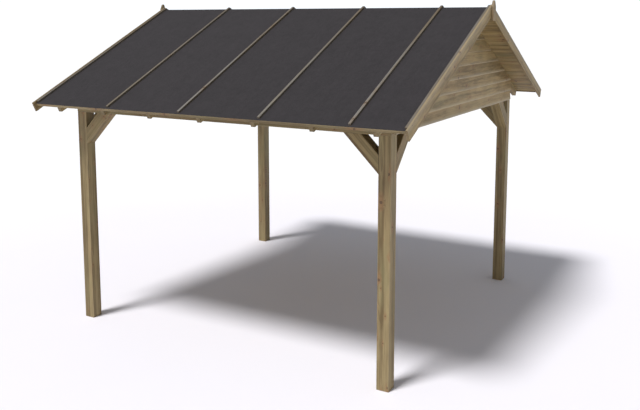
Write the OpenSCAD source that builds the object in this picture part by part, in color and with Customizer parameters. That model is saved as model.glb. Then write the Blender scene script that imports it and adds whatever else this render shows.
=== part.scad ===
// Open timber gazebo with a pitched, boarded and felted roof.
// Origin: centre of the footprint at ground level. X runs along the ridge, +Z is up.

/* [Frame] */
// Length of the frame along the ridge, over the posts
frame_l = 3668; // [3000:1:5000]
// Width of the frame across the ridge, over the posts
frame_w = 3544; // [3000:1:4400]
// Side of the square posts and braces, and width of the beams
post_w = 120; // [90:1:150]
// Height of the posts, to the underside of the beams
post_h = 2278; // [2000:1:2600]
// Height of the beams
beam_h = 160; // [120:1:200]
// Radius of the rounded arrises on posts, beams and braces
arris_r = 5; // [2:1:12]
// Distance from a post's inner face to the toe of its brace
brace_leg = 338; // [250:1:600]

/* [Rafters] */
// Pitch of the roof, in degrees
pitch = 25.58; // [20:0.05:35]
// Number of rafter pairs
rafter_pairs = 7; // [5:1:9]
// Thickness of a rafter
rafter_w = 45; // [35:1:70]
// Depth of a rafter, square to the slope
rafter_d = 80; // [70:1:120]
// Height of the birdsmouth cut where a rafter crosses the beam
birdsmouth = 23.5; // [10:0.5:30]
// Thickness of the ridge board
ridge_w = 32; // [22:1:50]
// Depth of the ridge board
ridge_d = 145; // [120:1:200]

/* [Roof covering] */
// Reach of the roof beyond the posts at the eaves
eave_reach = 312; // [150:1:450]
// Reach of the roof beyond the posts at the gables
gable_reach = 274; // [100:1:400]
// Thickness of the roof boards
board_t = 20; // [16:1:28]
// Width that each roof board covers
board_cover = 110; // [80:1:150]
// Depth of the V joint between roof boards
board_vee = 4; // [2:0.5:6]
// Thickness of the roofing felt
felt_t = 3; // [2:0.5:6]
// Width of the first strip of felt
felt_first = 998; // [600:1:1100]
// Width that each further strip of felt covers
felt_cover = 900; // [700:1:1000]
// Width of the battens over the felt joints
batten_w = 25; // [18:1:50]
// Height of the battens
batten_h = 20; // [12:1:30]
// Thickness of the trim along the eaves
trim_t = 20; // [12:1:30]
// Height of the trim along the eaves
trim_h = 27; // [21:1:60]

/* [Gables] */
// Thickness of a cladding board at its lower edge
clad_t = 22; // [16:1:30]
// Thickness of a cladding board where the next one laps it
clad_thin = 13; // [8:1:15]
// Width that each cladding board covers
clad_cover = 129; // [90:1:180]
// Height that the lowest cladding board covers
clad_first = 111; // [60:1:180]
// Distance from the frame's corner to the end of the cladding
clad_short = 40; // [0:1:60]
// Width of the gable studs
stud_w = 70; // [45:1:100]
// Width of the barge boards
barge_w = 103; // [80:1:150]
// Thickness of the barge boards
barge_t = 20; // [16:1:30]
// Rise of the barge boards above the felt
barge_rise = 24; // [0:1:30]
// Reach of the barge boards past the eaves trim, along the slope
barge_tail = 31; // [0:1:100]
// Width of the apex boards
apex_w = 80; // [50:1:100]
// Thickness of the apex boards
apex_t = 24; // [16:1:30]
// Height of the apex boards
apex_h = 203; // [150:1:260]
// Height of the apex boards' point above the barge boards
apex_rise = 40; // [20:1:100]

/* [Hidden] */
// Ends and sides of the frame: a word for names, and its direction along X or Y
ENDS = [["left", -1], ["right", 1]];
SIDES = [["front", -1], ["back", 1]];
felt_strips = 1 + ceil((frame_l + 2 * gable_reach - felt_first) / felt_cover);
$fn = 48;

half_l = frame_l / 2;
half_w = frame_w / 2;
beam_top = post_h + beam_h;
roof_half_l = half_l + gable_reach;
// Apex of the roof boards' underside, carried up from the rafters' seats
apex_z = beam_top - birdsmouth + half_w * tan(pitch) + rafter_d / cos(pitch);
// Top of the roof boards and of the felt, square to the slope
boards_top = board_t;
felt_top = board_t + felt_t;
// Length down the slope to the felt's edge, and to the boards' ends behind the trim
slope_l = (half_w + eave_reach - felt_top * sin(pitch)) / cos(pitch);
boards_l = slope_l - trim_t;
rafter_step = (frame_l - rafter_w) / (rafter_pairs - 1);

timber = "#8a7a5c";
pale_timber = "#9c8c6c";
felt_grey = "#444346";

// Point on the roof's section: along the slope from the apex, and square to it
function on_slope(along, out) = [
    along * cos(pitch) + out * sin(pitch),
    apex_z - along * sin(pitch) + out * cos(pitch)
];

// Point on the roof's section at a distance from the ridge's centre line
function at_plumb(y, out) = [y, apex_z - y * tan(pitch) + out / cos(pitch)];

// Height of the barge boards' peak
barge_top = felt_top + barge_rise;
barge_peak_z = at_plumb(0, barge_top)[1];

// Square with rounded corners, centred
module rounded_square(side, r) {
    square([side - 2 * r, side], center = true);
    square([side, side - 2 * r], center = true);
    for (x = [-1, 1], y = [-1, 1])
        translate([x * (side / 2 - r), y * (side / 2 - r)]) circle(r);
}

// Rectangle with rounded corners, from the origin
module rounded_bar(width, height, r) {
    translate([r, 0]) square([width - 2 * r, height]);
    translate([0, r]) square([width, height - 2 * r]);
    for (x = [r, width - r], y = [r, height - r])
        translate([x, y]) circle(r);
}

// Lays a section drawn in Y and Z along X
module along_x(x0, length) {
    translate([x0, 0, 0]) rotate([90, 0, 90]) linear_extrude(height = length) children();
}

// Puts a piece made for the right or the back on the other side
module on_end(end) {
    if (end < 0) mirror([1, 0, 0]) children();
    else children();
}

module on_slope_side(side) {
    if (side < 0) mirror([0, 1, 0]) children();
    else children();
}

// A post at one corner; end is -1 left or 1 right, side is -1 front or 1 back
module post(end, side) {
    color(timber)
        translate([end * (half_l - post_w / 2), side * (half_w - post_w / 2), 0])
            linear_extrude(height = post_h) rounded_square(post_w, arris_r);
}

// A beam along the eaves, halved at its ends under the tie beams
module eaves_beam(side) {
    color(timber) on_slope_side(side)
        difference() {
            along_x(-half_l, frame_l)
                translate([half_w - post_w, post_h]) rounded_bar(post_w, beam_h, arris_r);
            for (end = [-1, 1])
                translate([end * (half_l - post_w / 2), half_w - post_w / 2, beam_top])
                    cube([post_w, 2 * post_w, beam_h], center = true);
        }
}

// A beam across the gable, halved at its ends over the eaves beams
module tie_beam(end) {
    color(timber) on_end(end)
        difference() {
            translate([half_l, -half_w, post_h]) rotate([90, 0, 180])
                linear_extrude(height = frame_w) rounded_bar(post_w, beam_h, arris_r);
            for (side = [-1, 1])
                translate([half_l - post_w / 2, side * (half_w - post_w / 2), post_h])
                    cube([2 * post_w, post_w, beam_h], center = true);
        }
}

// A brace at 45 degrees, from the corner where a post's inner face meets the beam
module brace_timber() {
    axis_leg = brace_leg - post_w / sqrt(2);
    intersection() {
        translate([axis_leg / 2, 0, -axis_leg / 2]) rotate([0, 45, 0])
            linear_extrude(height = 3 * brace_leg, center = true) rounded_square(post_w, arris_r);
        translate([0, -post_w, -2 * brace_leg])
            cube([2 * brace_leg, 2 * post_w, 2 * brace_leg]);
    }
}

// A brace from a post to the eaves beam
module brace_long(end, side) {
    color(timber)
        translate([end * (half_l - post_w), side * (half_w - post_w / 2), post_h])
            rotate([0, 0, end > 0 ? 180 : 0]) brace_timber();
}

// A brace from a post to the tie beam
module brace_cross(end, side) {
    color(timber)
        translate([end * (half_l - post_w / 2), side * (half_w - post_w), post_h])
            rotate([0, 0, side > 0 ? -90 : 90]) brace_timber();
}

// Section of one rafter: plumb cut on the ridge board, birdsmouth over the beam
module rafter_section() {
    seat_in = half_w - birdsmouth / tan(pitch);
    polygon([
        at_plumb(ridge_w / 2, 0),
        on_slope(boards_l, 0),
        on_slope(boards_l, -rafter_d),
        at_plumb(half_w, -rafter_d),
        [half_w, beam_top],
        [seat_in, beam_top],
        at_plumb(ridge_w / 2, -rafter_d)
    ]);
}

// A pair of rafters, counted from the left gable
module rafter_pair(number) {
    x0 = -half_l + (number - 1) * rafter_step;
    color(timber) for (side = [-1, 1])
        on_slope_side(side) along_x(x0, rafter_w) rafter_section();
}

// The ridge board, bevelled to carry the roof boards
module ridge_board() {
    color(timber) along_x(-half_l, frame_l)
        polygon([
            [-ridge_w / 2, apex_z - ridge_d],
            [ridge_w / 2, apex_z - ridge_d],
            at_plumb(ridge_w / 2, 0),
            [0, apex_z],
            [-ridge_w / 2, at_plumb(ridge_w / 2, 0)[1]]
        ]);
}

// Three studs behind the cladding of a gable, on the tie beam
module gable_studs(end) {
    x0 = half_l - rafter_w;
    color(timber) on_end(end) {
        along_x(x0, rafter_w) translate([-stud_w / 2, beam_top])
            square([stud_w, apex_z - ridge_d - beam_top]);
        for (side = [-1, 1]) on_slope_side(side)
            along_x(x0, rafter_w) polygon([
                [half_w / 2 - stud_w / 2, beam_top],
                [half_w / 2 + stud_w / 2, beam_top],
                at_plumb(half_w / 2 + stud_w / 2, -rafter_d),
                at_plumb(half_w / 2 - stud_w / 2, -rafter_d)
            ]);
    }
}

// Boards of one slope, with a V joint at each board's edge on the underside
module roof_boards(side) {
    joints = [for (i = [floor(boards_l / board_cover):-1:1]) i * board_cover];
    color(timber) on_slope_side(side) along_x(-roof_half_l, 2 * roof_half_l)
        polygon(concat(
            [at_plumb(0, 0), at_plumb(0, boards_top)],
            [on_slope(boards_l, boards_top), on_slope(boards_l, 0)],
            [for (s = joints, p = [[1, 0], [0, 1], [-1, 0]])
                on_slope(s + p[0] * board_vee, p[1] * board_vee)]
        ));
}

// Left edge of a strip of felt, counted from the left gable
function felt_edge(number) =
    number == 1 ? -roof_half_l
                : min(roof_half_l, -roof_half_l + felt_first + (number - 2) * felt_cover);

// A strip of felt, from eave to eave over the ridge
module felt_strip(number) {
    eave = [on_slope(slope_l, boards_top), on_slope(slope_l, felt_top)];
    x0 = felt_edge(number);
    color(felt_grey) along_x(x0, felt_edge(number + 1) - x0)
        polygon([
            at_plumb(0, boards_top), eave[0], eave[1],
            at_plumb(0, felt_top), [-eave[1][0], eave[1][1]], [-eave[0][0], eave[0][1]]
        ]);
}

// The battens of one slope, over the joints of the felt and along its two ends
module battens(side) {
    starts = concat(
        [-roof_half_l],
        [for (number = [2:felt_strips]) felt_edge(number) - batten_w / 2],
        [roof_half_l - batten_w]
    );
    color(pale_timber) on_slope_side(side) for (x0 = starts)
        along_x(x0, batten_w)
            polygon([
                at_plumb(0, felt_top),
                on_slope(boards_l, felt_top),
                on_slope(boards_l, felt_top + batten_h),
                at_plumb(0, felt_top + batten_h)
            ]);
}

// The trim along one eave, on the ends of the boards and rafters
module eaves_trim(side) {
    color(pale_timber) on_slope_side(side) along_x(-roof_half_l, 2 * roof_half_l)
        polygon([
            on_slope(boards_l, boards_top - trim_h),
            on_slope(slope_l, boards_top - trim_h),
            on_slope(slope_l, boards_top),
            on_slope(boards_l, boards_top)
        ]);
}

// Section of the lapped cladding boards, drawn as thickness and height
module cladding_section() {
    z0 = post_h + 5;
    laps = [for (z = [z0 + clad_first:clad_cover:apex_z + clad_cover]) z];
    polygon(concat(
        [[0, z0], [clad_t, z0]],
        [for (z = laps, t = [clad_thin, clad_t]) [t, z]],
        [[0, laps[len(laps) - 1]]]
    ));
}

// The lapped cladding of a gable, up to the underside of the roof boards
module gable_cladding(end) {
    half = half_w - clad_short;
    color(timber) on_end(end)
        intersection() {
            translate([half_l, half, 0]) rotate([90, 0, 0])
                linear_extrude(height = 2 * half) cladding_section();
            along_x(half_l - 1, clad_t + 2)
                polygon([
                    [-half, post_h], [half, post_h],
                    at_plumb(half, 0), [0, apex_z],
                    [-half, at_plumb(half, 0)[1]]
                ]);
        }
}

// A barge board, plumb at the peak and square at its tail
module barge_board(end, side) {
    tail = slope_l + barge_tail;
    color(timber) on_end(end) on_slope_side(side) along_x(roof_half_l, barge_t)
        polygon([
            at_plumb(0, barge_top - barge_w),
            on_slope(tail, barge_top - barge_w),
            on_slope(tail, barge_top),
            at_plumb(0, barge_top)
        ]);
}

// The pointed board that covers the joint of two barge boards
module apex_board(end) {
    point = apex_w / 4;
    top = barge_peak_z + apex_rise;
    shoulder = barge_peak_z - apex_w / 4;
    color(pale_timber) on_end(end) along_x(roof_half_l + barge_t, apex_t)
        polygon([
            [-apex_w / 2, top - apex_h], [apex_w / 2, top - apex_h],
            [apex_w / 2, shoulder], [point / 2, top],
            [-point / 2, top], [-apex_w / 2, shoulder]
        ]);
}

for (s = SIDES, e = ENDS) {
    corner = str(s[0], "_", e[0]);
    post(e[1], s[1]);
    brace_long(e[1], s[1]);
    brace_cross(e[1], s[1]);
    barge_board(e[1], s[1]);
}
for (s = SIDES) {
    eaves_beam(s[1]);
    roof_boards(s[1]);
    battens(s[1]);
    eaves_trim(s[1]);
}
for (e = ENDS) {
    tie_beam(e[1]);
    gable_studs(e[1]);
    gable_cladding(e[1]);
    apex_board(e[1]);
}
for (i = [1:rafter_pairs])
    rafter_pair(i);
ridge_board();
for (i = [1:felt_strips])
    felt_strip(i);
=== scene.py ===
import math
import random

import bpy
from mathutils import Matrix, Vector


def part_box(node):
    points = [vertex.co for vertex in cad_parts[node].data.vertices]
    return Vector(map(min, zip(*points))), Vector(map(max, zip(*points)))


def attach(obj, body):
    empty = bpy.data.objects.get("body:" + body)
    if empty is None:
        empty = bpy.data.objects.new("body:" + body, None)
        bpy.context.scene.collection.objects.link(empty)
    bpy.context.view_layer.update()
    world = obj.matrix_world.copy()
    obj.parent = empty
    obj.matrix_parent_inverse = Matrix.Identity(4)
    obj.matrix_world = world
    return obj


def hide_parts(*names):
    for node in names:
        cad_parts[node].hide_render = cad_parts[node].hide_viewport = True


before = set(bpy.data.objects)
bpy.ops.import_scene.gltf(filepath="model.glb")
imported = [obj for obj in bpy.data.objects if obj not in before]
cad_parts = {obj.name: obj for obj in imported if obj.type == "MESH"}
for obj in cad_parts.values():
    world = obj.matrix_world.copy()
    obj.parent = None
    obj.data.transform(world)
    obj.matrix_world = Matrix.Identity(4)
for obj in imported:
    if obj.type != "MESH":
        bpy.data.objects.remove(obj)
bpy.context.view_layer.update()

bl_info = {
    "name": "Timber Gazebo",
    "version": (1, 0, 0),
    "blender": (4, 5, 0),
    "location": "3D View > Sidebar > Gazebo",
    "description": "Open timber gazebo with a boarded and felted roof",
    "category": "Add Mesh",
}

# Places read from the frame. X runs along the ridge and Z is up.
X, Y, Z = Vector((1, 0, 0)), Vector((0, 1, 0)), Vector((0, 0, 1))
ENDS = {"left": -1, "right": 1}
SIDES = {"front": -1, "back": 1}
CORNERS = {f"{side}_{end}": (x, y) for side, y in SIDES.items() for end, x in ENDS.items()}
HALF_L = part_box("tie_beam_right")[1].x
HALF_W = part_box("eaves_beam_back")[1].y
ROOF_HALF_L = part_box("roof_boards_back")[1].x
POST_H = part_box("post_back_right")[1].z
BEAM_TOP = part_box("eaves_beam_back")[1].z
POST_W = HALF_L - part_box("tie_beam_right")[0].x
APEX_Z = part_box("ridge_board")[1].z
BOARDS_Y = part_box("rafter_pair_1")[1].y
BOARDS_DROP = APEX_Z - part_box("roof_boards_back")[0].z
PITCH = math.atan2(BOARDS_DROP, BOARDS_Y)
BOARDS_L = math.hypot(BOARDS_DROP, BOARDS_Y)
BOARD_T = (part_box("roof_boards_back")[1].y - BOARDS_Y) / math.sin(PITCH)
RIDGE_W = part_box("ridge_board")[1].y * 2
FELTS = sorted(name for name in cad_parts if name.startswith("felt_strip_"))
RAFTERS = sorted(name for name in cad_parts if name.startswith("rafter_pair_"))
FELT_JOINTS = [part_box(name)[0].x for name in FELTS[1:]]

SLACK = 1e-4  # a point this near to a plane counts as on it
CLEAR = 0.1  # a cutter reaches this far past the wood
FACING = 0.6  # a face counts as turned one way if its normal has this much of the way


def metres(name, description, default):
    """A length that a user may change."""
    return bpy.props.FloatProperty(
        name=name, description=description, default=default, min=0.0, precision=4, unit="LENGTH",
    )


def tint(name, description, default):
    """A colour that a user may change."""
    return bpy.props.FloatVectorProperty(
        name=name, description=description, default=default, min=0.0, max=1.0, size=3, subtype="COLOR",
    )


def log(name, description, default):
    """A number that picks the log which a piece is sawn from."""
    return bpy.props.IntProperty(name=name, description=description, default=default, min=0)


class GazeboSizes(bpy.types.PropertyGroup):
    arris: metres("Arris", "Radius of the planed arrises on posts, beams and braces", 0.005)
    eased: metres("Eased edge", "Radius of the eased edges on lighter timber", 0.002)
    rafter_depth: metres("Rafter depth", "Depth of a rafter, square to the slope", 0.080)
    tapered: metres("Tapered tail", "Depth that a rafter loses between its beam and its end", 0.010)
    board_cover: metres("Board cover", "Width that each roof board covers", 0.110)
    board_vee: metres("Board joint", "Depth of the V joint between roof boards", 0.004)
    board_gap: metres("Board gap", "Gap between two roof boards", 0.0008)
    felt_thickness: metres("Felt thickness", "Thickness of the roofing felt", 0.003)
    batten_width: metres("Batten width", "Width of the battens over the felt joints", 0.025)
    batten_height: metres("Batten height", "Height of the battens", 0.020)
    trim_height: metres("Trim height", "Height of the trim along the eaves", 0.027)
    trim_thickness: metres("Trim thickness", "Thickness of the trim along the eaves", 0.020)
    cladding_cover: metres("Cladding cover", "Width that each cladding board covers", 0.129)
    cladding_first: metres("Lowest board", "Height that the lowest cladding board covers", 0.111)
    cladding_short: metres("Cladding end", "Distance from the frame's corner to the cladding", 0.055)
    cladding_thick: metres("Cladding thickness", "Thickness at a board's lower edge", 0.022)
    cladding_thin: metres("Cladding top", "Thickness where the next board laps it", 0.013)
    clad_round: metres("Cladding edge", "Radius of a cladding board's lower edge", 0.009)
    # height of the band that carries the painted highlight along each cladding board
    pale_band: metres("Weathered band", "Height of the paler band along a cladding board", 0.036)
    stud_width: metres("Stud width", "Width of the gable studs", 0.070)
    barge_width: metres("Barge width", "Width of the barge boards", 0.103)
    barge_rise: metres("Barge rise", "Rise of the barge boards above the felt", 0.024)
    barge_strip: metres("Barge strip", "Height of the weathered strip along a barge board", 0.055)
    barge_tail: metres("Barge tail", "Reach of the barge boards past the trim", 0.031)
    nail: metres("Nail head", "Diameter of a nail head", 0.007)
    screw: metres("Screw head", "Diameter of a screw head", 0.011)
    proud: metres("Head rise", "Height that a head stands above the wood", 0.001)
    nail_step: metres("Nail spacing", "Distance between nails along a board", 0.300)
    timber_log: log("Timber log", "Picks the grain of the posts, beams and braces", 1)
    board_log: log("Board log", "Picks the grain of the roof boards, cladding and barge boards", 16)


class GazeboColours(bpy.types.PropertyGroup):
    timber: tint("Timber", "Treated timber of the posts and beams", (0.376, 0.286, 0.140))
    timber_dark: tint("Timber grain", "Darker grain of the timber", (0.155, 0.104, 0.040))
    boards: tint("Boards", "Cladding and barge boards", (0.405, 0.288, 0.131))
    soffit: tint("Roof boards", "Underside of the roof boards", (0.378, 0.268, 0.108))
    trim: tint("Trim", "Eaves trim and apex boards", (0.380, 0.296, 0.168))
    battens: tint("Battens", "Weathered battens on the felt", (0.218, 0.215, 0.208))
    heartwood: tint("Heartwood", "Redder wood at the heart and round knots", (0.300, 0.160, 0.070))
    treatment: tint("Treatment", "Green cast of the treatment", (0.215, 0.195, 0.090))
    knot: tint("Knots", "Knots in all the timber", (0.070, 0.034, 0.014))
    # paler wood of rubbed arrises, and the painted highlight along the lower edge of each cladding board
    worn_and_highlit: tint("Worn edges", "Paler wood where it is worn or weathered", (0.460, 0.398, 0.285))
    # darker wood: painted shade on the shaded sides of battens, barge boards and apex boards, and darker end
    # grain at the rafter and barge tails
    shade_and_end_grain: tint("Soiled wood", "Darker wood where damp and dirt gather", (0.095, 0.064, 0.034))
    felt: tint("Felt", "Mineral face of the roofing felt", (0.0262, 0.0222, 0.0244))
    fixings: tint("Fixings", "Galvanised nails and screws", (0.230, 0.225, 0.210))
    tarnish: tint("Tarnish", "Dull patches on the nails and screws", (0.160, 0.140, 0.110))
    floor: tint("Floor", "Pale studio floor", (0.930, 0.905, 0.955))
    far_floor: tint("Far floor", "The floor further off", (0.980, 0.975, 0.985))


def sizes():
    return bpy.context.scene.gazebo_sizes


def colours():
    return bpy.context.scene.gazebo_colours


# ---- finishes

def signs(operation):
    """An operator and its reflected form, such as value - 1 and 1 - value."""
    def plain(value, term):
        return value.sum(operation, value, term)

    def reflected(value, term):
        return value.sum(operation, term, value)

    return plain, reflected


class Flow:
    """A value on its way through a finish. A sum written with it adds the nodes for the sum."""

    def __init__(self, finish, socket):
        self.finish = finish
        self.socket = socket

    __add__, __radd__ = signs("ADD")
    __sub__, __rsub__ = signs("SUBTRACT")
    __mul__, __rmul__ = signs("MULTIPLY")
    __truediv__, __rtruediv__ = signs("DIVIDE")
    __pow__, __rpow__ = signs("POWER")

    def sum(self, operation, *terms):
        return self.finish.add("ShaderNodeMath", {"operation": operation}, dict(enumerate(terms)))

    def other(self, name):
        """Another output of the same node."""
        return Flow(self.finish, self.socket.node.outputs[name])

    def fraction(self):
        return self.sum("FRACT", self)

    def exponent(self):
        return self.sum("EXPONENT", self)

    def most(self, term):
        return self.sum("MAXIMUM", self, term)

    def held(self, low=0.0, high=1.0):
        """The value, held between two limits."""
        return self.sum("MINIMUM", self.most(low), high)

    def step(self, low, high):
        """Rises smoothly from 0 at low to 1 at high."""
        inputs = {"Value": self, "From Min": low, "From Max": high}
        return self.finish.add("ShaderNodeMapRange", {"interpolation_type": "SMOOTHSTEP"}, inputs)


class Finish:
    """The nodes of a material, or of the light all round, under construction."""

    def __init__(self, owner):
        owner.use_nodes = True
        self.owner = owner
        self.tree = owner.node_tree
        self.tree.nodes.clear()

    def add(self, kind, settings, inputs, output=0):
        """Adds a node with its settings made first, then its inputs, and gives one output."""
        node = self.tree.nodes.new(kind)
        for name, setting in settings.items():
            setattr(node, name, setting)
        for name, value in inputs.items():
            if isinstance(value, Flow):
                self.tree.links.new(value.socket, node.inputs[name])
            else:
                node.inputs[name].default_value = value
        return Flow(self, node.outputs[output]) if len(node.outputs) else None

    def stored(self, name, output="Fac"):
        """A value stored on the piece's own points."""
        return self.add("ShaderNodeAttribute", {"attribute_name": name}, {}, output)

    def place(self):
        """A point's place in the frame."""
        return self.add("ShaderNodeTexCoord", {}, {}, "Object")

    def vectors(self, operation, first, second=(0, 0, 0), output=0):
        inputs = {0: first, 1: second}
        return self.add("ShaderNodeVectorMath", {"operation": operation}, inputs, output)

    def stretched(self, place, stretch):
        """A place with each direction scaled by its own amount."""
        return self.vectors("MULTIPLY", place, stretch)

    def distance(self, place):
        return self.vectors("LENGTH", place, output="Value")

    def noise(self, place, per_metre, detail=2.0, rough=0.5, output=0):
        """Cloudy pattern from 0 to 1, with so many clouds to the metre each way."""
        inputs = {"Vector": self.stretched(place, per_metre), "Scale": 1.0}
        inputs.update({"Detail": detail, "Roughness": rough})
        return self.add("ShaderNodeTexNoise", {}, inputs, output)

    def chips(self, place, per_metre):
        """A number from 0 to 1 for each of many small chips."""
        cells = self.add("ShaderNodeTexVoronoi", {}, {"Vector": place, "Scale": per_metre}, "Color")
        return self.add("ShaderNodeSeparateColor", {}, {0: cells})

    def parts(self, vector):
        """The three numbers of a place or a colour."""
        split = self.add("ShaderNodeSeparateXYZ", {}, {0: vector})
        return split, split.other("Y"), split.other("Z")

    def mix(self, share, first, second):
        """A colour between two, by the share of the second."""
        inputs = {0: share}
        for socket, colour in ((6, first), (7, second)):
            inputs[socket] = colour if isinstance(colour, Flow) else (*colour, 1.0)
        return self.add("ShaderNodeMix", {"data_type": "RGBA"}, inputs, 2)

    def tinted(self, colour, amount):
        """A colour with its brightness multiplied by an amount."""
        inputs = {0: colour, "Scale": amount}
        return self.add("ShaderNodeVectorMath", {"operation": "SCALE"}, inputs)

    def bump(self, height, strength, distance):
        inputs = {"Height": height, "Strength": strength, "Distance": distance}
        return self.add("ShaderNodeBump", {}, inputs)

    def close(self, inputs):
        """Ends the finish in one surface shader and its output."""
        surface = self.add("ShaderNodeBsdfPrincipled", {}, inputs)
        self.add("ShaderNodeOutputMaterial", {}, {"Surface": surface})
        return self.owner


def knots(finish, place):
    """Branches that run out from the pith: distance from the nearest one, its radius and halo."""
    per_metre = Vector((4.2, 9.0, 9.0))
    lean, full_depth, thinnest = 0.25, 0.045, 0.0004
    spaced = finish.stretched(place, per_metre)
    cell = finish.add("ShaderNodeTexVoronoi", {}, {"Vector": spaced, "Scale": 1.0}, "Position")
    px, py, pz = finish.parts(place)
    kx, ky, kz = finish.parts(finish.vectors("DIVIDE", cell, per_metre))
    reach = (ky * ky + kz * kz) ** 0.5
    outward = (py * ky + pz * kz) / reach
    beside = (py * kz - pz * ky) / reach
    lengthwise = px - kx - (outward - reach) * lean
    distance = (lengthwise * lengthwise + beside * beside) ** 0.5
    chance, size, _ = finish.parts(cell.other("Color"))
    radius = (chance - 0.42).held(0.0, 0.3) * (0.016 + size * 0.034)
    radius = radius * (outward / full_depth).held() + thinnest
    swept = (lengthwise / (radius * 6.0 + 0.004)) ** 2.0
    halo = (swept * -1.0 - (beside / (radius * 1.9)) ** 2.0).exponent()
    return distance, radius, halo


def timber_finish(name, light, rough, wear_and_painted_light, contrast, stains=0.5, tints=1.0):
    """Treated softwood: growth rings, fibres, knots with the grain flowing round them."""
    shade = colours()
    ring_width = 0.0062
    finish = Finish(bpy.data.materials.new(name))
    place = finish.stored("grain", "Vector")
    tone = finish.stored("tone")
    worn_and_highlit = finish.stored("wear_and_painted_light")
    wander = finish.noise(place, (0.8, 4.0, 4.0), output="Color")
    wander = finish.vectors("SUBTRACT", wander, (0.5, 0.5, 0.5))
    bent = finish.vectors("ADD", place, finish.stretched(wander, (0.0, 0.05, 0.05)))
    distance, radius, halo = knots(finish, place)
    around = ((distance / (radius * 2.4)) ** 2.0 * -1.0).exponent()
    across = finish.distance(finish.stretched(bent, (0.0, 1.0, 1.0)))
    years = (across + around * radius * 1.8) / ring_width
    year = years.fraction()
    late = year.step(0.45, 0.93) * (1.0 - year.step(0.94, 1.0))
    waves = {"W": years * 0.55, "Scale": 1.0, "Detail": 1.0}
    growth = finish.add("ShaderNodeTexNoise", {"noise_dimensions": "1D"}, waves)
    fibres = finish.noise(place, (9.0, 800.0, 800.0), rough=0.6)
    streaks = finish.noise(bent, (1.3, 48.0, 48.0), rough=0.6)
    bands = finish.noise(bent, (0.4, 17.0, 17.0), detail=1.0)
    cast = finish.noise(place, (1.6, 5.0, 5.0), detail=3.0, rough=0.6)
    stain = finish.noise(bent, (4.5, 22.0, 22.0), detail=3.0, rough=0.6)
    heart = finish.noise(place, (0.7, 9.0, 9.0))
    share = growth - 0.5 + (streaks - 0.5) * 0.9 + (bands - 0.5) * 1.7
    share = share + late * 0.3 + (fibres - 0.5) * 0.45 + (stain - 0.5) * stains
    share = (share * contrast + 0.36 + around * 0.2).held()
    colour = finish.mix(share, light, shade.timber_dark)
    colour = finish.mix(cast.step(0.46, 0.72) * (0.45 * tints), colour, shade.treatment)
    heart = (heart.step(0.52, 0.8) * 0.3).most(halo * 0.75) * tints
    colour = finish.mix(heart, colour, shade.heartwood)
    level = 1.0 + (cast - 0.5) * 0.3
    shaded = {"X": level + tone * 0.075, "Y": level + tone * 0.085, "Z": level + tone * 0.115}
    colour = finish.stretched(colour, finish.add("ShaderNodeCombineXYZ", {}, shaded))
    # paler marks are rubbed arrises and the painted highlight; darker marks are painted shade and darker end
    # grain; streaks vary their strength
    mark_strength = (streaks - 0.5) * 0.8 + 1.0
    colour = finish.mix((worn_and_highlit * wear_and_painted_light * mark_strength).held(), colour, shade.worn_and_highlit)
    colour = finish.mix((worn_and_highlit * -0.6 * mark_strength).held(), colour, shade.shade_and_end_grain)
    ring = distance / radius
    knot_share = 1.0 - ring.step(0.72, 1.02)
    rim = ring.step(0.45, 0.8) * 0.25 + 0.72
    colour = finish.mix(knot_share * rim, colour, shade.knot)
    heights = fibres * 0.5 - late * 0.3 + knot_share * 0.5 + streaks * 0.5
    return finish.close({
        "Base Color": colour,
        "Roughness": rough - late * 0.08 + (fibres - 0.5) * 0.15 - knot_share * 0.12,
        "Normal": finish.bump(heights, strength=0.4, distance=0.0012),
    })


def felt_finish(name, mineral):
    """Roofing felt: fine mineral chips on bitumen, with faint lengthwise and cloudy mottling."""
    finish = Finish(bpy.data.materials.new(name))
    place = finish.place()
    chip = finish.chips(place, 620.0)
    clouds = finish.noise(place, (7.0, 7.0, 7.0), detail=4.0, rough=0.62)
    patches = finish.noise(place, (26.0, 14.0, 26.0), detail=3.0, rough=0.6)
    rolled = finish.noise(place, (34.0, 0.6, 0.6))
    level = 1.0 + (chip - 0.5) * 0.55 + (clouds - 0.5) * 0.45 + (patches - 0.5) * 0.55
    level = level + (rolled - 0.5) * 0.22 + finish.stored("tone") * 0.05
    heights = chip * 0.5 + patches * 0.9 + clouds * 1.2
    return finish.close({
        "Base Color": finish.tinted(mineral, level),
        "Roughness": 0.93 - (chip - 0.5) * 0.12,
        "Normal": finish.bump(heights, strength=0.35, distance=0.0015),
    })


def fixing_finish(name, zinc, tarnish):
    """Dull galvanised steel with cloudy spangle."""
    finish = Finish(bpy.data.materials.new(name))
    place = finish.place()
    spangle = finish.chips(place, 900.0)
    dull = finish.noise(place, (300.0, 300.0, 300.0))
    return finish.close({
        "Base Color": finish.tinted(finish.mix(dull, zinc, tarnish), 0.8 + spangle * 0.3),
        "Roughness": 0.38 + dull * 0.3,
        "Metallic": 0.6,
        "Normal": finish.bump(spangle, strength=0.1, distance=0.0005),
    })


def floor_finish(name, near, far):
    """Pale studio floor, paler still further off."""
    finish = Finish(bpy.data.materials.new(name))
    place = finish.place()
    faint = finish.noise(place, (0.5, 0.5, 0.5))
    colour = finish.mix(finish.distance(place).step(4.0, 9.0), near, far)
    return finish.close({
        "Base Color": finish.tinted(colour, 0.99 + faint * 0.02),
        "Roughness": 0.9,
    })


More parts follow.
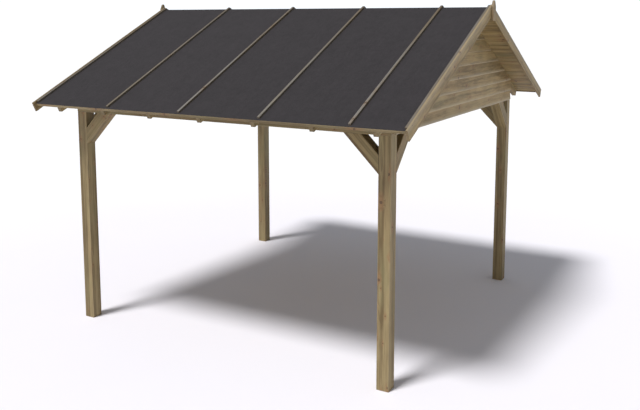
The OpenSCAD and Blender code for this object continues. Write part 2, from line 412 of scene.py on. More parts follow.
def make_finish(name):
    """A finish by its name, made the first time it is asked for."""
    if name in bpy.data.materials:
        return bpy.data.materials[name]
    shade = colours()
    if name == "mineral felt":
        return felt_finish(name, shade.felt)
    if name == "galvanised steel":
        return fixing_finish(name, shade.fixings, shade.tarnish)
    if name == "studio floor":
        return floor_finish(name, shade.floor, shade.far_floor)
    looks = {
        "treated posts and beams": dict(light=shade.timber, rough=0.62, wear_and_painted_light=0.15, contrast=1.2, stains=0.7),
        "treated rafters": dict(light=shade.timber, rough=0.7, wear_and_painted_light=0.1, contrast=1.1),
        "treated boards": dict(
            light=shade.boards, rough=0.62, wear_and_painted_light=0.42, contrast=0.95, stains=1.6, tints=0.65,
        ),
        "roof boards": dict(light=shade.soffit, rough=0.62, wear_and_painted_light=0.5, contrast=0.9, stains=1.5),
        "weathered battens": dict(
            light=shade.battens, rough=0.7, wear_and_painted_light=0.5, contrast=0.8, stains=1.0, tints=0.3,
        ),
        "pale trim": dict(light=shade.trim, rough=0.6, wear_and_painted_light=0.6, contrast=1.2, stains=1.0),
    }
    return timber_finish(name, **looks[name])


FINISH_OF_SLOT = {
    "posts_and_beams": "treated posts and beams",
    "rafters": "treated rafters",
    "boards": "treated boards",
    "trim": "pale trim",
    "felt": "mineral felt",
}


# ---- workbench

def work_on(piece):
    """Makes a piece the only one selected."""
    bpy.ops.object.select_all(action="DESELECT")
    piece.select_set(True)
    bpy.context.view_layer.objects.active = piece


def settle(piece):
    """Puts a piece's place, turn and size into its mesh."""
    work_on(piece)
    bpy.ops.object.transform_apply(location=True, rotation=True, scale=True)
    return piece


def begin(primitive, **measures):
    """A primitive to make a piece from."""
    bpy.ops.object.select_all(action="DESELECT")
    primitive(**measures)
    return bpy.context.object


def blank(low, high):
    """A squared-up blank between two corners."""
    low, high = Vector(low), Vector(high)
    cube = bpy.ops.mesh.primitive_cube_add
    return settle(begin(cube, size=1, location=(low + high) / 2, scale=high - low))


def turn(piece, angle, axis):
    piece.matrix_world = Matrix.Rotation(angle, 4, axis)
    return settle(piece)


def face(piece, way):
    """Turns a piece made for the right or the back half round, if it goes on the other side."""
    return turn(piece, 0 if way > 0 else math.pi, "Z")


def shift(piece, move):
    piece.location = move
    return settle(piece)


def copy_of(piece):
    """A copy of a piece, with its own mesh."""
    twin = piece.copy()
    twin.data = piece.data.copy()
    bpy.context.scene.collection.objects.link(twin)
    return twin


def scrap(*masters):
    for master in masters:
        bpy.data.objects.remove(master)


def join(parts):
    """Several parts as one piece."""
    work_on(parts[0])
    for part in parts:
        part.select_set(True)
    bpy.ops.object.join()
    return bpy.context.object


def in_edit(piece, mode, choice):
    """Opens a piece in edit mode, with all or nothing of it selected."""
    work_on(piece)
    bpy.ops.object.mode_set(mode="EDIT")
    bpy.ops.mesh.select_mode(type=mode)
    bpy.ops.mesh.select_all(action=choice)


def out_of_edit(piece):
    bpy.ops.object.mode_set(mode="OBJECT")
    return piece


def saw(piece, point, normal, through=True):
    """Saws off what lies past a plane, on the side its normal points to."""
    in_edit(piece, "VERT", "SELECT")
    bpy.ops.mesh.bisect(plane_co=point, plane_no=normal, use_fill=through, clear_outer=through)
    return out_of_edit(piece)


def score(piece, point, normal):
    """Runs new edges round a piece where a plane crosses it."""
    return saw(piece, point, normal, through=False)


def modify(piece, kind, **settings):
    """Works a piece with one modifier."""
    work_on(piece)
    modifier = piece.modifiers.new(kind, kind)
    for name, setting in settings.items():
        setattr(modifier, name, setting)
    bpy.ops.object.modifier_apply(modifier=modifier.name)
    return piece


def notch(piece, low, high):
    """Cuts a square notch out of a piece."""
    cutter = blank(low, high)
    modify(piece, "BOOLEAN", operation="DIFFERENCE", object=cutter)
    scrap(cutter)


def pick(piece, mode, wanted):
    """Opens a piece in edit mode, with the points, edges or faces that pass a test selected."""
    in_edit(piece, mode, "DESELECT")
    out_of_edit(piece)
    kinds = {"VERT": piece.data.vertices, "EDGE": piece.data.edges, "FACE": piece.data.polygons}
    for item in kinds[mode]:
        item.select = bool(wanted(item))
    bpy.ops.object.mode_set(mode="EDIT")


def pick_edges(piece, wanted):
    """Selects the edges whose two ends pass a test."""
    points = piece.data.vertices
    pick(piece, "EDGE", lambda edge: wanted(*(points[number].co for number in edge.vertices)))


def round_edges(piece, radius, wanted, steps=4):
    """Planes a round, or a chamfer with one step, on the edges that pass a test."""
    pick_edges(piece, wanted)
    bpy.ops.mesh.bevel(offset=radius, segments=steps, affect="EDGES")
    return out_of_edit(piece)


def along(axis):
    """A test for edges that run along an axis."""
    nearly = 0.999
    return lambda first, last: abs((last - first).normalized().dot(axis)) > nearly


def ease(piece, radius, steps=2):
    """Takes the sharpness off every edge of a piece."""
    sharp = math.radians(20)
    return modify(piece, "BEVEL", width=radius, segments=steps, limit_method="ANGLE", angle_limit=sharp)


def lay_grain(piece, seed, grain_axis, depth_axis, pith=None, dark=0.0):
    """Stores each point's place in its log: along the grain, and across it from the pith."""
    draw = random.Random(seed)
    log_length, aside, nearest, furthest = 60, 0.045, 0.03, 0.11
    wide_axis = depth_axis.cross(grain_axis)
    axes = (grain_axis, wide_axis, grain_axis.cross(wide_axis))
    start = [draw.uniform(0, log_length), draw.uniform(-aside, aside), draw.choice((-1, 1))]
    start[2] *= draw.uniform(nearest, furthest) if pith is None else pith
    # a piece's tone: random, lowered by dark, which is painted shade on the eaves beams, the braces and the
    # upper cladding boards
    level = draw.uniform(-1, 1) - dark
    points = piece.data.vertices
    middle = sum((vertex.co for vertex in points), Vector()) / len(points)
    places = [(vertex.co - middle).dot(axes[way]) + start[way] for vertex in points for way in range(3)]
    grain = piece.data.attributes.new("grain", "FLOAT_VECTOR", "POINT")
    grain.data.foreach_set("vector", places)
    store(piece, "tone", lambda vertex: level)
    wear_rounds(piece, axes[1:])
    return piece


def wear_rounds(piece, faces):
    """Marks the points inside a rounded edge between two faces, where the wood is rubbed paler."""
    steepest = 3.7

    def in_round(vertex):
        less, more = sorted(abs(vertex.normal.dot(way)) for way in faces)
        return float(more < steepest * less)

    store(piece, "wear_and_painted_light", in_round)


def store(piece, name, rule):
    """Stores a number on each point: its tone, from dark to light, or its mark, from darkest, for painted
    shade and end grain, to palest, for rubbed arrises and the painted highlight.
    """
    values = [rule(vertex) for vertex in piece.data.vertices]
    layer = piece.data.attributes.get(name) or piece.data.attributes.new(name, "FLOAT", "POINT")
    layer.data.foreach_set("value", values)


def dress(piece, name, finish):
    """Gives a finished piece its name, its finish and its place on the frame."""
    piece.name = name
    piece.data.name = name
    piece.data.materials.append(make_finish(finish))
    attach(piece, "root")


def hand_over(piece, slot, node, finish=None):
    """Smooths the rounds of a finished piece, dresses it and puts it in the place of its node."""
    work_on(piece)
    bpy.ops.object.shade_smooth_by_angle(angle=math.radians(35))
    modify(piece, "WEIGHTED_NORMAL", keep_sharp=True)
    kind = "sheet" if slot == "felt" else "timber"
    dress(piece, f"{node}_{kind}", finish or FINISH_OF_SLOT[slot])
    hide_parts(node)


# ---- roof's slope

def down_slope(side):
    return Vector((0, side * math.cos(PITCH), -math.sin(PITCH)))


def out_of_slope(side):
    return Vector((0, side * math.sin(PITCH), math.cos(PITCH)))


def on_slope(distance, out, side=1):
    """Point of the roof's section: down the slope from the apex, and square to it."""
    return Z * APEX_Z + down_slope(side) * distance + out_of_slope(side) * out


def to_slope(piece, side=1):
    """Tips a piece made flat, with Y down the slope and Z out of it, onto one slope."""
    return face(shift(turn(piece, -PITCH, "X"), Z * APEX_Z), side)


def slope_length():
    return BOARDS_L + sizes().trim_thickness


def felt_top():
    return BOARD_T + sizes().felt_thickness


def barge_peak():
    """Height at which the upper edges of two barge boards meet."""
    return APEX_Z + (felt_top() + sizes().barge_rise) / math.cos(PITCH)


def batten_places():
    """Places of the battens along the ridge: one at each end and one over each joint."""
    end = ROOF_HALF_L - sizes().batten_width / 2
    return (-end, *FELT_JOINTS, end)


def courses():
    """Lower and upper edge of what each cladding board covers, from the lowest board up."""
    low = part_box("gable_cladding_right")[0].z
    high = low + sizes().cladding_first
    while low < APEX_Z:
        yield low, high
        low, high = high, high + sizes().cladding_cover


# ---- pieces

class GAZEBO_OT_posts(bpy.types.Operator):
    """Makes the four square posts"""

    bl_idname = "gazebo.posts"
    bl_label = "Posts"

    def execute(self, context):
        low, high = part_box("post_back_right")
        middle = (low + high) / 2
        foot = low.z + SLACK
        master = blank(low, high)
        round_edges(master, sizes().arris, along(Z))
        round_edges(master, sizes().eased, lambda a, b: max(a.z, b.z) < foot, steps=1)
        for corner, (x, y) in CORNERS.items():
            node = f"post_{corner}"
            piece = shift(copy_of(master), (middle.x * (x - 1), middle.y * (y - 1), 0))
            lay_grain(piece, f"{node} {sizes().timber_log}", Z, Y, pith=0.028, dark=0.9)
            hand_over(piece, "posts_and_beams", node)
        scrap(master)
        return {"FINISHED"}


def make_beam(node, axis, reach):
    """A beam, halved where it crosses the beams at its ends: in its top along X, underneath along Y."""
    low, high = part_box(node)
    around = Vector((CLEAR, CLEAR, CLEAR))
    beam = blank(low, high)
    round_edges(beam, sizes().arris, along((X, Y)[axis]))
    for way in (-1, 1):
        start, stop = low - around, high + around
        start[axis], stop[axis] = sorted((way * (reach - POST_W), way * (reach + POST_W)))
        (stop if axis else start).z = (POST_H + BEAM_TOP) / 2
        notch(beam, start, stop)
    return beam


def fit_beam(master, node, way, run, depth, dark=0.0):
    piece = face(copy_of(master), way)
    lay_grain(piece, f"{node} {sizes().timber_log}", run, depth, pith=0.05, dark=dark)
    hand_over(piece, "posts_and_beams", node)


class GAZEBO_OT_beams(bpy.types.Operator):
    """Makes the eaves beams and the tie beams, halved over each other at the corners"""

    bl_idname = "gazebo.beams"
    bl_label = "Beams"

    def execute(self, context):
        eaves = make_beam("eaves_beam_back", 0, HALF_L)
        tie = make_beam("tie_beam_right", 1, HALF_W)
        for side, y in SIDES.items():
            # the eaves beams are made darker: painted shade from the eaves above
            fit_beam(eaves, f"eaves_beam_{side}", y, X, Y, dark=2.5)
        for end, x in ENDS.items():
            fit_beam(tie, f"tie_beam_{end}", x, Y, X)
        scrap(eaves, tie)
        return {"FINISHED"}


def make_brace(node, x, y, dark):
    low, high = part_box(node)
    leg = high.z - low.z
    middle = (low + high) / 2
    piece = blank((-2 * leg, -POST_W / 2, 0), (2 * leg, POST_W / 2, POST_W))
    round_edges(piece, sizes().arris, along(X))
    lay_grain(piece, f"{node} {sizes().timber_log}", X, Y, pith=0.03, dark=dark)
    turn(piece, math.radians(-45), "Y")
    shift(piece, (0, 0, -leg))
    saw(piece, (0, 0, 0), Z)
    saw(piece, (0, 0, 0), -X)
    if node.startswith("brace_long"):
        face(piece, -x)
        shift(piece, (high.x if x > 0 else low.x, middle.y, high.z))
    else:
        turn(piece, math.radians(-90 * y), "Z")
        shift(piece, (middle.x, high.y if y > 0 else low.y, high.z))
    hand_over(piece, "posts_and_beams", node)


class GAZEBO_OT_braces(bpy.types.Operator):
    """Makes the eight braces at 45 degrees"""

    bl_idname = "gazebo.braces"
    bl_label = "Braces"

    def execute(self, context):
        for corner, (x, y) in CORNERS.items():
            # the braces are made darker: painted shade from the roof
            make_brace(f"brace_long_{corner}", x, y, dark=2.7)
            make_brace(f"brace_cross_{corner}", x, y, dark=1.5)
        return {"FINISHED"}


def make_rafter(start, end):
    depth = sizes().rafter_depth
    tapered = sizes().tapered
    rafter = blank((start, -CLEAR, -depth), (end, BOARDS_L, 0))
    round_edges(rafter, sizes().eased, along(Y), steps=2)
    to_slope(rafter)
    saw(rafter, (0, RIDGE_W / 2, 0), -Y)
    seat = (start - CLEAR, HALF_W - 3 * CLEAR, BEAM_TOP - 2 * CLEAR)
    notch(rafter, seat, (end + CLEAR, HALF_W, BEAM_TOP))
    taper_start = on_slope((HALF_W + depth * math.sin(PITCH)) / math.cos(PITCH), -depth)
    taper_end = on_slope(BOARDS_L, tapered - depth)
    saw(rafter, taper_end, (taper_end - taper_start).cross(X))
    return score(rafter, on_slope(BOARDS_L - tapered, 0), down_slope(1))


def darken_tail_end(rafter, y):
    """Darkens the end grain of a rafter's tail."""
    tail = on_slope(BOARDS_L - sizes().tapered / 2, 0, y)
    outward = down_slope(y)
    mark_strength = -0.8
    store(rafter, "wear_and_painted_light", lambda vertex: mark_strength * ((vertex.co - tail).dot(outward) > 0))


class GAZEBO_OT_rafters(bpy.types.Operator):
    """Makes the pairs of rafters, with plumb cuts and birdsmouths"""

    bl_idname = "gazebo.rafters"
    bl_label = "Rafters"

    def execute(self, context):
        low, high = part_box(RAFTERS[0])
        master = make_rafter(low.x, high.x)
        for node in RAFTERS:
            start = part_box(node)[0].x
            parts = []
            for side, y in SIDES.items():
                part = face(copy_of(master), y)
                shift(part, (start - low.x if y > 0 else start + high.x, 0, 0))
                lay_grain(part, f"{node}_{side}", down_slope(y), X, pith=0.06)
                darken_tail_end(part, y)
                parts.append(part)
            hand_over(join(parts), "rafters", node)
        scrap(master)
        return {"FINISHED"}


class GAZEBO_OT_ridge_board(bpy.types.Operator):
    """Makes the ridge board, bevelled along its top"""

    bl_idname = "gazebo.ridge_board"
    bl_label = "Ridge board"

    def execute(self, context):
        piece = blank(*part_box("ridge_board"))
        for y in SIDES.values():
            saw(piece, (0, 0, APEX_Z), out_of_slope(y))
        ease(piece, sizes().eased / 2, steps=1)
        lay_grain(piece, "ridge_board", X, Y, pith=0.06)
        hand_over(piece, "rafters", "ridge_board")
        return {"FINISHED"}


class GAZEBO_OT_gable_studs(bpy.types.Operator):
    """Makes the studs behind the cladding of each gable"""

    bl_idname = "gazebo.gable_studs"
    bl_label = "Gable studs"

    def execute(self, context):
        half = sizes().stud_width / 2
        low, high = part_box("gable_studs_right")
        studs = []
        for number, y in enumerate((-HALF_W / 2, 0, HALF_W / 2)):
            stud = blank((low.x, y - half, low.z), (high.x, y + half, high.z))
            round_edges(stud, sizes().eased, along(Z), steps=2)
            if y:
                side = math.copysign(1, y)
                saw(stud, on_slope(0, -sizes().rafter_depth, side), out_of_slope(side))
            studs.append(lay_grain(stud, f"stud_{number}", Z, X, pith=0.06))
        master = join(studs)
        for end, x in ENDS.items():
            hand_over(face(copy_of(master), x), "rafters", f"gable_studs_{end}")
        scrap(master)
        return {"FINISHED"}


def lay_boards(master, side, y):
    """The boards of one slope, the first cut plumb at the ridge and the last cut at the eave."""
    cover = sizes().board_cover
    count = math.ceil(BOARDS_L / cover)
    boards = [shift(copy_of(master), (0, number * cover, 0)) for number in range(count)]
    saw(boards[0], (0, 0, 0), (0, -math.cos(PITCH), math.sin(PITCH)))
    saw(boards[-1], (0, BOARDS_L, 0), Y)
    for number, board in enumerate(boards):
        to_slope(board, y)
        seed = f"roof_board_{side}_{number} {sizes().board_log}"
        lay_grain(board, seed, X, out_of_slope(y), dark=0.6)
        store(board, "wear_and_painted_light", lambda vertex: 0.0)
    return boards


class GAZEBO_OT_roof_boards(bpy.types.Operator):
    """Makes the roof boards one by one, with V joints on the underside"""

    bl_idname = "gazebo.roof_boards"
    bl_label = "Roof boards"

    def execute(self, context):
        size = sizes()
        half_gap = size.board_gap / 2
        far = (ROOF_HALF_L, size.board_cover - half_gap, BOARD_T)
        master = blank((-ROOF_HALF_L, half_gap, 0), far)
        round_edges(master, size.board_vee, lambda a, b: along(X)(a, b) and a.z < SLACK, steps=1)
        for side, y in SIDES.items():
            piece = join(lay_boards(master, side, y))
            hand_over(piece, "boards", f"roof_boards_{side}", finish="roof boards")
        scrap(master)
        return {"FINISHED"}


def make_strip(node):
    """A sheet laid flat over the ridge, with each half then folded down to its slope."""
    low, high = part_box(node)
    length = slope_length() + felt_top() * math.tan(PITCH)
    piece = begin(bpy.ops.mesh.primitive_grid_add, x_subdivisions=24, y_subdivisions=96, size=1)
    piece.scale = (high.x - low.x, 2 * length, 1)
    shift(piece, ((low.x + high.x) / 2, 0, 0))
    for y in SIDES.values():
        pick(piece, "VERT", lambda vertex: vertex.co.y * y > SLACK)
        bpy.ops.transform.rotate(value=y * PITCH, orient_axis="X", center_override=(0, 0, 0))
        out_of_edit(piece)
    shift(piece, (0, 0, APEX_Z + felt_top() / math.cos(PITCH)))
    modify(piece, "SOLIDIFY", thickness=sizes().felt_thickness, offset=-1.0)
    level = random.Random(node).uniform(-1, 1)
    store(piece, "tone", lambda vertex: level)
    hand_over(piece, "felt", node)


class GAZEBO_OT_felt(bpy.types.Operator):
    """Makes the strips of roofing felt, each laid from eave to eave over the ridge"""

    bl_idname = "gazebo.felt"
    bl_label = "Felt"

    def execute(self, context):
        for node in FELTS:
            make_strip(node)
        return {"FINISHED"}


def shade_batten(batten, x, y):
    """Paints shade on the sides of a batten, and on the top of one that lies against a barge board."""
    upward = out_of_slope(y)
    # painted shade: darker sides, and a darker top on the battens along the verges
    side, painted_verge_shade = -1.0, -0.6
    top = painted_verge_shade if abs(x) > ROOF_HALF_L - sizes().batten_width else 0.0
    store(batten, "wear_and_painted_light", lambda vertex: top if vertex.normal.dot(upward) > FACING else side)


class GAZEBO_OT_battens(bpy.types.Operator):
    """Makes the battens over the joints of the felt and along its two ends"""

    bl_idname = "gazebo.battens"
    bl_label = "Battens"

    def execute(self, context):
        size = sizes()
        half = size.batten_width / 2
        base = felt_top()
        top = base + size.batten_height
        master = blank((-half, -CLEAR, base), (half, BOARDS_L, top))
        round_edges(master, size.eased, lambda a, b: min(a.z, b.z) > top - SLACK, steps=2)
        saw(to_slope(master), (0, 0, 0), -Y)
        for side, y in SIDES.items():
            parts = []
            for number, x in enumerate(batten_places()):
                part = shift(face(copy_of(master), y), (x, 0, 0))
                lay_grain(part, f"batten_{side}_{number}", down_slope(y), X, pith=0.05, dark=0.5)
                shade_batten(part, x, y)
                parts.append(part)
            hand_over(join(parts), "trim", f"battens_{side}", finish="weathered battens")
        scrap(master)
        return {"FINISHED"}


class GAZEBO_OT_eaves_trim(bpy.types.Operator):
    """Makes the trim on the ends of the roof boards and rafters"""

    bl_idname = "gazebo.eaves_trim"
    bl_label = "Eaves trim"

    def execute(self, context):
        low = (-ROOF_HALF_L, BOARDS_L, BOARD_T - sizes().trim_height)
        master = blank(low, (ROOF_HALF_L, slope_length(), BOARD_T))
        to_slope(ease(master, sizes().eased / 2))
        for side, y in SIDES.items():
            node = f"eaves_trim_{side}"
            piece = face(copy_of(master), y)
            lay_grain(piece, node, X, out_of_slope(y), pith=0.05, dark=2.3)
            hand_over(piece, "trim", node)
        scrap(master)
        return {"FINISHED"}


def paint_cladding_highlight(board, number, low):
    """Paints a highlight along a board's lower edge, most on the lowest and on the third board."""
    lowest, third, fall, least = 1.4, 1.15, 0.12, 0.2
    share = max(least, third - fall * (number - 2) ** 2) if number else lowest
    pale = low + sizes().pale_band / 2
    # painted highlight: the points of the lower band are marked paler
    store(board, "wear_and_painted_light", lambda vertex: share * (vertex.co.z < pale))


def make_cladding_board(low, high):
    """A board that thins upwards, with a rounded lower edge that laps the one below."""
    size = sizes()
    face_x = HALF_L + size.cladding_thick
    half = HALF_W - size.cladding_short
    board = blank((HALF_L, -half, low), (face_x, half, high))

    def outer_edge(height):
        middle = Vector((face_x, 0, height))
        return lambda a, b: ((a + b) / 2 - middle).length < SLACK

    pick_edges(board, outer_edge(high))
    bpy.ops.transform.translate(value=(size.cladding_thin - size.cladding_thick, 0, 0))
    out_of_edit(board)
    round_edges(board, size.clad_round, outer_edge(low))
    score(board, (0, 0, low + size.pale_band), Z)
    for y in SIDES.values():
        if APEX_Z - half * math.tan(PITCH) < high:
            saw(board, (0, 0, APEX_Z), out_of_slope(y))
    return board


class GAZEBO_OT_cladding(bpy.types.Operator):
    """Makes the lapped boards of the gables, each cut to the slope of the roof"""

    bl_idname = "gazebo.cladding"
    bl_label = "Gable cladding"

    def execute(self, context):
        for end, x in ENDS.items():
            parts = []
            for number, (low, high) in enumerate(courses()):
                part = face(make_cladding_board(low, high), x)
                # each board up is darker: painted shade from the roof's overhang
                lay_grain(part, f"cladding_{end}_{number} {sizes().board_log}", Y, X, dark=0.3 * number)
                paint_cladding_highlight(part, number, low)
                parts.append(part)
            hand_over(join(parts), "boards", f"gable_cladding_{end}")
        return {"FINISHED"}


def weather_and_shade_barge(piece, x, y):
    """Pales the outer face towards its top, greys the top, paints shade on the inner face, and darkens the
    end grain of the tail.
    """
    tail, inner, upper, grey = -0.8, -0.5, 0.9, -6.0
    edge = on_slope(0, felt_top() + sizes().barge_rise - sizes().barge_strip / 2, y)
    level = piece.data.attributes["tone"].data[0].value

    def wear_and_painted_light(vertex):
        if vertex.normal.dot(down_slope(y)) > FACING:
            return tail
        # painted shade on the inner face, next to the felt
        if vertex.normal.x * x < -FACING:
            return inner
        return upper * ((vertex.co - edge).dot(out_of_slope(y)) > 0)

    store(piece, "wear_and_painted_light", wear_and_painted_light)
    store(piece, "tone", lambda vertex: level + grey * (vertex.normal.dot(out_of_slope(y)) > FACING))


class GAZEBO_OT_barge_boards(bpy.types.Operator):
    """Makes the barge boards, plumb at the peak and square at the tail"""

    bl_idname = "gazebo.barge_boards"
    bl_label = "Barge boards"

    def execute(self, context):
        size = sizes()
        low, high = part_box("barge_board_back_right")
        top = felt_top() + size.barge_rise
        start = (low.x, -2 * CLEAR, top - size.barge_width)
        stop = (high.x, slope_length() + size.barge_tail, top)
        for end, x in ENDS.items():
            for side, y in SIDES.items():
                node = f"barge_board_{side}_{end}"
                piece = to_slope(blank(start, stop))
                saw(piece, (0, 0, 0), -Y)
                ease(piece, size.eased)
                score(piece, on_slope(0, top - size.barge_strip), out_of_slope(1))
                face(piece, y)
                if x != y:
                    shift(piece, (x * (low.x + high.x), 0, 0))
                lay_grain(piece, f"{node} {size.board_log}", down_slope(y), X, dark=1.15 + 0.3 * y)
                weather_and_shade_barge(piece, x, y)
                hand_over(piece, "boards", node)
        return {"FINISHED"}


class GAZEBO_OT_apex_boards(bpy.types.Operator):
    """Makes the pointed boards over the joints of the barge boards"""

    bl_idname = "gazebo.apex_boards"
    bl_label = "Apex boards"

    def execute(self, context):
        low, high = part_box("apex_board_right")
        half = high.y
        shoulder = barge_peak() - half / 2
        flat = half / 4
        painted_side_shade = -0.7
        master = blank(low, high - X * sizes().proud)
        for y in SIDES.values():
            saw(master, (0, y * half, shoulder), (0, y * (high.z - shoulder), half - flat))
        ease(master, sizes().eased)
        for end, x in ENDS.items():
            node = f"apex_board_{end}"
            piece = face(copy_of(master), x)
            lay_grain(piece, node, Z, X, pith=0.04)
            # painted shade on the board's narrow sides
            store(piece, "wear_and_painted_light", lambda vertex: painted_side_shade * (abs(vertex.normal.y) > FACING))
            hand_over(piece, "trim", node)
        scrap(master)
        return {"FINISHED"}


def make_head(width, dished):
    """A round head, standing on its shank's side at Z = 0, with a bevelled rim and a sunk middle."""
    proud = sizes().proud
    head = begin(bpy.ops.mesh.primitive_cylinder_add, vertices=12, radius=width / 2, depth=2 * proud)
    pick(head, "FACE", lambda side: side.normal.z > FACING)
    bpy.ops.mesh.inset(thickness=width / 8, depth=0.0)
    bpy.ops.mesh.inset(thickness=width / 8, depth=-proud * dished / 4)
    out_of_edit(head)
    rim = width / 2 - SLACK
    return round_edges(head, proud / 3, lambda a, b: min(a.z, b.z) > 0 and a.xy.length > rim, steps=1)


def drive(head, spots):
    """Copies a head to each spot, with its top towards the way given with it."""
    parts = []
    for point, way in spots:
        part = copy_of(head)
        part.matrix_world = Matrix.Translation(point) @ way.to_track_quat("Z", "Y").to_matrix().to_4x4()
        parts.append(settle(part))
    return parts


def finish_off(name, parts):
    dress(join(parts), name, "galvanised steel")


def rows(start, end):
    """Evenly spaced distances from start to end, about one nail step apart."""
    count = max(1, round((end - start) / sizes().nail_step))
    return [start + (end - start) * number / count for number in range(count + 1)]


def cladding_spots(x):
    """Nails into the studs and the posts, just above the band that laps the next board down."""
    size = sizes()
    spots = []
    for low, high in list(courses())[:-1]:
        height = low + size.pale_band
        share = size.pale_band / (high - low)
        out = HALF_L + size.cladding_thick + (size.cladding_thin - size.cladding_thick) * share
        for y in (0, -HALF_W / 2, HALF_W / 2, POST_W - HALF_W, HALF_W - POST_W):
            if height + size.pale_band < APEX_Z - abs(y) * math.tan(PITCH):
                spots.append((Vector((x * out, y, height)), X * x))
    return spots


def barge_spots(x):
    """Nails into the ends of the roof boards, and between them into the batten."""
    face_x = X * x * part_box("barge_board_back_right")[1].x
    spots = []
    for y in SIDES.values():
        for number, row in enumerate(rows(start=0.1, end=BOARDS_L - 0.05)):
            out = felt_top() + sizes().batten_height / 2 if number % 2 else BOARD_T / 2
            spots.append((on_slope(row, out, y) + face_x, X * x))
    return spots


def apex_spots(x):
    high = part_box("apex_board_right")[1]
    face_x = x * (high.x - sizes().proud)
    drops = (high.y, 2 * high.y)
    places = [(face_x, y * high.y / 2, barge_peak() - drop) for y in SIDES.values() for drop in drops]
    return [(Vector(place), X * x) for place in places]


def batten_spots(y):
    top = felt_top() + sizes().batten_height
    down = [on_slope(row, top, y) for row in rows(start=0.06, end=BOARDS_L - 0.04)]
    return [(point + X * x, out_of_slope(y)) for x in batten_places() for point in down]


def trim_spots(y):
    middle = on_slope(slope_length(), BOARD_T - sizes().trim_height / 2, y)
    edge = ROOF_HALF_L - 0.04
    return [(middle + X * x, down_slope(y)) for x in rows(-edge, edge)]


def brace_spots():
    """Two screws at each end of each brace, square to its lower face."""
    in_from_end = sizes().screw * 4
    spots = []
    for corner, (x, y) in CORNERS.items():
        for run, inward, across in (("long", X * -x, Y), ("cross", Y * -y, X)):
            low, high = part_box(f"brace_{run}_{corner}")
            leg = high.z - low.z
            foot = (low + high) / 2 + inward * leg / 2
            for drop in (in_from_end, leg - in_from_end):
                for aside in (-POST_W / 4, POST_W / 4):
                    point = foot - inward * drop + across * aside
                    point.z = high.z - drop
                    spots.append((point, inward - Z))
    return spots


class GAZEBO_OT_fixings(bpy.types.Operator):
    """Makes the heads of the nails and screws"""

    bl_idname = "gazebo.fixings"
    bl_label = "Nails and screws"

    def execute(self, context):
        nail = make_head(sizes().nail, dished=1)
        screw = make_head(sizes().screw, dished=3)
        for end, x in ENDS.items():
            nails = drive(nail, cladding_spots(x) + barge_spots(x))
            finish_off(f"gable_fixings_{end}", nails + drive(screw, apex_spots(x)))
        for side, y in SIDES.items():
            finish_off(f"roof_nails_{side}", drive(nail, batten_spots(y) + trim_spots(y)))
        finish_off("brace_screws", drive(screw, brace_spots()))
        scrap(nail, screw)
        return {"FINISHED"}


def make_floor():
    just_under = (0, 0, -0.0005)
    floor = settle(begin(bpy.ops.mesh.primitive_plane_add, size=400, location=just_under))
    floor.name = "studio_floor"
    floor.data.materials.append(make_finish("studio floor"))


def make_sun():
    sun = bpy.data.lights.new("key", "SUN")
    sun.energy = 2.9
    sun.angle = math.radians(14)
    lamp = bpy.data.objects.new("key_light", sun)
    towards = Vector((-0.183, -0.468, 1.0))
    lamp.rotation_euler = towards.to_track_quat("Z", "Y").to_euler()
    bpy.context.scene.collection.objects.link(lamp)


def make_dome():
    """Soft light from all round, brightest near the horizon, and white where it is seen."""
    overhead, horizon, seen = 0.26, 0.46, 1.03
    world = bpy.data.worlds.new("studio")
    bpy.context.scene.world = world
    dome = Finish(world)
    up = dome.parts(dome.add("ShaderNodeTexCoord", {}, {}, "Generated"))[2]
    glow = overhead + (1.0 - (up * up) ** 0.5).step(0.72, 1.0) * horizon
    in_view = dome.add("ShaderNodeLightPath", {}, {}, "Is Camera Ray")
    inputs = {"Color": (1.0, 1.045, 1.11, 1), "Strength": glow.most(in_view * seen)}
    light = dome.add("ShaderNodeBackground", {}, inputs)
    dome.add("ShaderNodeOutputWorld", {}, {"Surface": light})


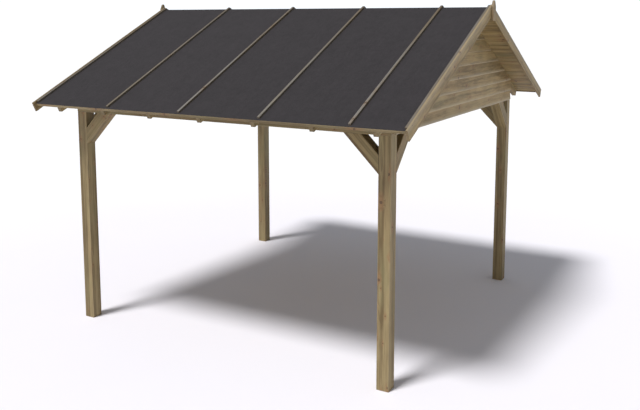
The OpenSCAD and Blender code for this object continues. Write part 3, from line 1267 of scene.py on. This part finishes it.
def make_camera():
    lens = bpy.data.cameras.new("studio_camera")
    lens.lens = 43.89
    lens.sensor_width = 36.0
    lens.shift_y = -0.13
    camera = bpy.data.objects.new("studio_camera", lens)
    camera.location = (4.501, -7.722, 3.246)
    camera.rotation_euler = (math.radians(82.585), 0, math.radians(29.433))
    bpy.context.scene.collection.objects.link(camera)
    bpy.context.scene.camera = camera


class GAZEBO_OT_stage(bpy.types.Operator):
    """Makes the pale floor, the soft light and the camera"""

    bl_idname = "gazebo.stage"
    bl_label = "Studio"

    def execute(self, context):
        make_floor()
        make_sun()
        make_dome()
        make_camera()
        bpy.context.scene.view_settings.view_transform = "Standard"
        return {"FINISHED"}


PIECES = (
    GAZEBO_OT_posts, GAZEBO_OT_beams, GAZEBO_OT_braces, GAZEBO_OT_rafters,
    GAZEBO_OT_ridge_board, GAZEBO_OT_gable_studs, GAZEBO_OT_roof_boards, GAZEBO_OT_felt,
    GAZEBO_OT_battens, GAZEBO_OT_eaves_trim, GAZEBO_OT_cladding, GAZEBO_OT_barge_boards,
    GAZEBO_OT_apex_boards, GAZEBO_OT_fixings, GAZEBO_OT_stage,
)


class GAZEBO_PT_panel(bpy.types.Panel):
    """Lists the sizes, the colours and the pieces"""

    bl_idname = "GAZEBO_PT_panel"
    bl_label = "Gazebo"
    bl_space_type = "VIEW_3D"
    bl_region_type = "UI"
    bl_category = "Gazebo"

    def draw(self, context):
        for group in (sizes(), colours()):
            column = self.layout.column(align=True)
            for name in group.bl_rna.properties.keys():
                if name not in ("rna_type", "name"):
                    column.prop(group, name)
        for piece in PIECES:
            self.layout.operator(piece.bl_idname)


CLASSES = (GazeboSizes, GazeboColours, *PIECES, GAZEBO_PT_panel)


def register():
    for kind in CLASSES:
        bpy.utils.register_class(kind)
    bpy.types.Scene.gazebo_sizes = bpy.props.PointerProperty(type=GazeboSizes)
    bpy.types.Scene.gazebo_colours = bpy.props.PointerProperty(type=GazeboColours)


def unregister():
    del bpy.types.Scene.gazebo_colours
    del bpy.types.Scene.gazebo_sizes
    for kind in reversed(CLASSES):
        bpy.utils.unregister_class(kind)


def main():
    register()
    for piece in PIECES:
        group, name = piece.bl_idname.split(".")
        getattr(getattr(bpy.ops, group), name)()


if __name__ == "__main__":
    main()
